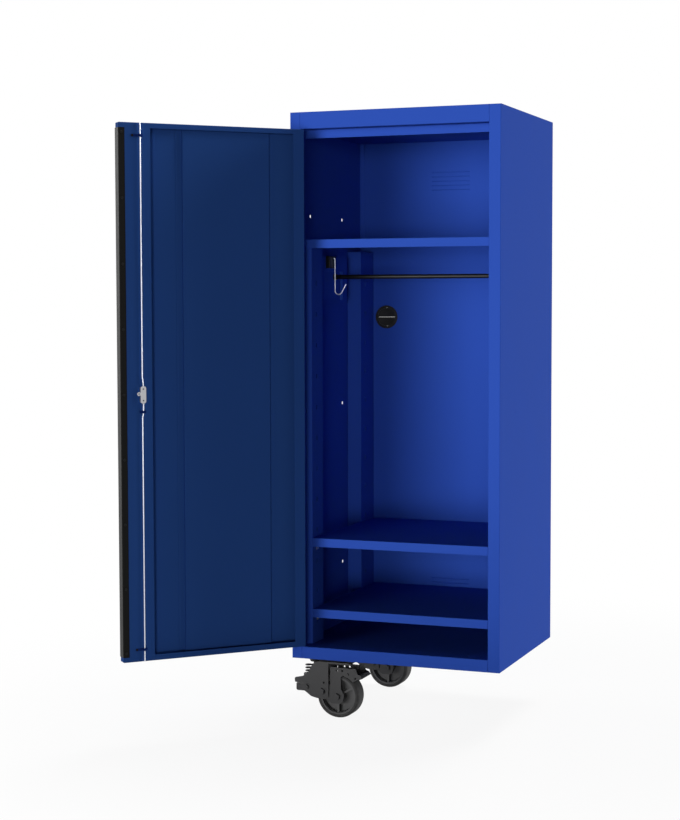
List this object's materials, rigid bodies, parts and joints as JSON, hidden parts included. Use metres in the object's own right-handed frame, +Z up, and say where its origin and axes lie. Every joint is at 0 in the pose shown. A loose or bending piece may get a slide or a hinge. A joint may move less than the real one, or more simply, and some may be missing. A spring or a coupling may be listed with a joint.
{
  "type": "tool chest side locker",
  "caption": "Tall steel side locker with one full-height door, shelves, a hanger bar and sprung casters under its outer side, to bolt beside a tool chest.",
  "frame": {"origin": "middle of the rectangle of four bolt holes in the right side, on its outer face", "axes": "+X out of the right side towards the cabinet that carries it, +Y from the front to the back, +Z up"},
  "size_m": [0.9488, 0.9762, 1.712],
  "materials": {
    "blue_paint": "satin powder coat",
    "caster_paint": "satin black paint",
    "black_anodised": "black anodised",
    "bright_steel": "zinc plated",
    "dark_steel": "blackened",
    "black_plastic": "moulded",
    "wheel_plastic": "moulded",
    "tread_rubber": "smooth"
  },
  "bodies": {
    "cabinet": {"side_panel_left": "blue_paint", "side_panel_right": "blue_paint", "top_panel": "blue_paint", "base_pan": "blue_paint", "floor_panel": "blue_paint", "ceiling_panel": "blue_paint", "back_panel": "blue_paint", "post_front_left": "blue_paint", "post_rear_left": "blue_paint", "post_front_right": "blue_paint", "post_rear_right": "blue_paint", "top_shelf": "blue_paint", "middle_shelf": "blue_paint", "lower_shelf": "blue_paint", "shelf_clips": "bright_steel", "bar_bracket_left": "blue_paint", "bar_bracket_right": "blue_paint", "bar_cups": "black_plastic", "hanger_bar": "dark_steel", "coat_hook_base": "bright_steel", "coat_hook": "bright_steel", "grommet_ring": "black_plastic", "grommet_cap": "black_plastic", "hinge_leaf_cabinet": "blue_paint", "hinge_pin": "bright_steel", "caster_bolts": "bright_steel", "front_caster_plate": "caster_paint", "front_caster_kingpin": "caster_paint", "rear_caster_plate": "caster_paint", "rear_caster_kingpin": "caster_paint"},
    "door": {"door_tray": "blue_paint", "latch_channel": "blue_paint", "door_stiffener": "blue_paint", "handle_trim": "black_anodised", "handle_screws": "dark_steel", "hinge_leaf_door": "blue_paint", "rod_guides": "blue_paint", "latch_housing": "bright_steel", "lock_barrel": "bright_steel"},
    "lock": {"lock_plug": "bright_steel", "latch_pinion": "bright_steel"},
    "upper_rod": {"upper_rod": "bright_steel"},
    "lower_rod": {"lower_rod": "bright_steel"},
    "front_yoke": {"front_caster_yoke": "caster_paint", "front_caster_pivot_bolts": "caster_paint", "front_caster_spring": "dark_steel"},
    "front_arm": {"front_caster_arm": "caster_paint", "front_caster_arm_bolts": "caster_paint"},
    "front_wheel": {"front_wheel_core": "wheel_plastic", "front_wheel_tread": "tread_rubber"},
    "front_brake": {"front_caster_brake": "caster_paint"},
    "rear_yoke": {"rear_caster_yoke": "caster_paint", "rear_caster_pivot_bolts": "caster_paint", "rear_caster_spring": "dark_steel"},
    "rear_arm": {"rear_caster_arm": "caster_paint", "rear_caster_arm_bolts": "caster_paint"},
    "rear_wheel": {"rear_wheel_core": "wheel_plastic", "rear_wheel_tread": "tread_rubber"},
    "rear_brake": {"rear_caster_brake": "caster_paint"}
  },
  "joints": [
    {"name": "door_hinge", "type": "hinge", "parent": "cabinet", "child": "door", "pos_m": [-0.5786, -0.2754, 0.025], "axis": [0, 0, 1], "range_deg": [-45, 133.8]},
    {"name": "lock_turn", "type": "hinge", "parent": "door", "child": "lock", "pos_m": [-0.90699, -0.62275, 0.025], "axis": [-0.7218, 0.6921, 0], "range_deg": [0, 180]},
    {"name": "upper_rod_slide", "type": "slide", "parent": "door", "child": "upper_rod", "axis": [0, 0, 1], "range_m": [0, 0.01413]},
    {"name": "lower_rod_slide", "type": "slide", "parent": "door", "child": "lower_rod", "axis": [0, 0, -1], "range_m": [0, 0.0142]},
    {"name": "front_swivel", "type": "hinge", "parent": "cabinet", "child": "front_yoke", "pos_m": [-0.498, -0.197, -0.758], "axis": [0, 0, 1], "continuous": true},
    {"name": "front_arm_swing", "type": "hinge", "parent": "front_yoke", "child": "front_arm", "pos_m": [-0.536, -0.197, -0.8365], "axis": [0, 1, 0], "range_deg": [-3, 3], "stiffness_Nm_per_rad": 300, "deforming": ["front_caster_spring"]},
    {"name": "front_wheel_spin", "type": "hinge", "parent": "front_arm", "child": "front_wheel", "pos_m": [-0.491, -0.197, -0.8495], "axis": [0, 1, 0], "continuous": true},
    {"name": "front_brake_press", "type": "hinge", "parent": "front_arm", "child": "front_brake", "pos_m": [-0.457, -0.197, -0.7835], "axis": [0, 1, 0], "range_deg": [0, 6]},
    {"name": "rear_swivel", "type": "hinge", "parent": "cabinet", "child": "rear_yoke", "pos_m": [-0.498, 0.226, -0.758], "axis": [0, 0, 1], "continuous": true},
    {"name": "rear_arm_swing", "type": "hinge", "parent": "rear_yoke", "child": "rear_arm", "pos_m": [-0.536, 0.226, -0.8365], "axis": [0, 1, 0], "range_deg": [-3, 3], "stiffness_Nm_per_rad": 300, "deforming": ["rear_caster_spring"]},
    {"name": "rear_wheel_spin", "type": "hinge", "parent": "rear_arm", "child": "rear_wheel", "pos_m": [-0.491, 0.226, -0.8495], "axis": [0, 1, 0], "continuous": true},
    {"name": "rear_brake_press", "type": "hinge", "parent": "rear_arm", "child": "rear_brake", "pos_m": [-0.457, 0.226, -0.7835], "axis": [0, 1, 0], "range_deg": [0, 6]}
  ],
  "couplings": [
    {"joint": "lock_turn", "follows": "upper_rod_slide", "rad_per_m": 222.22},
    {"joint": "lower_rod_slide", "follows": "upper_rod_slide", "ratio": 1}
  ]
}
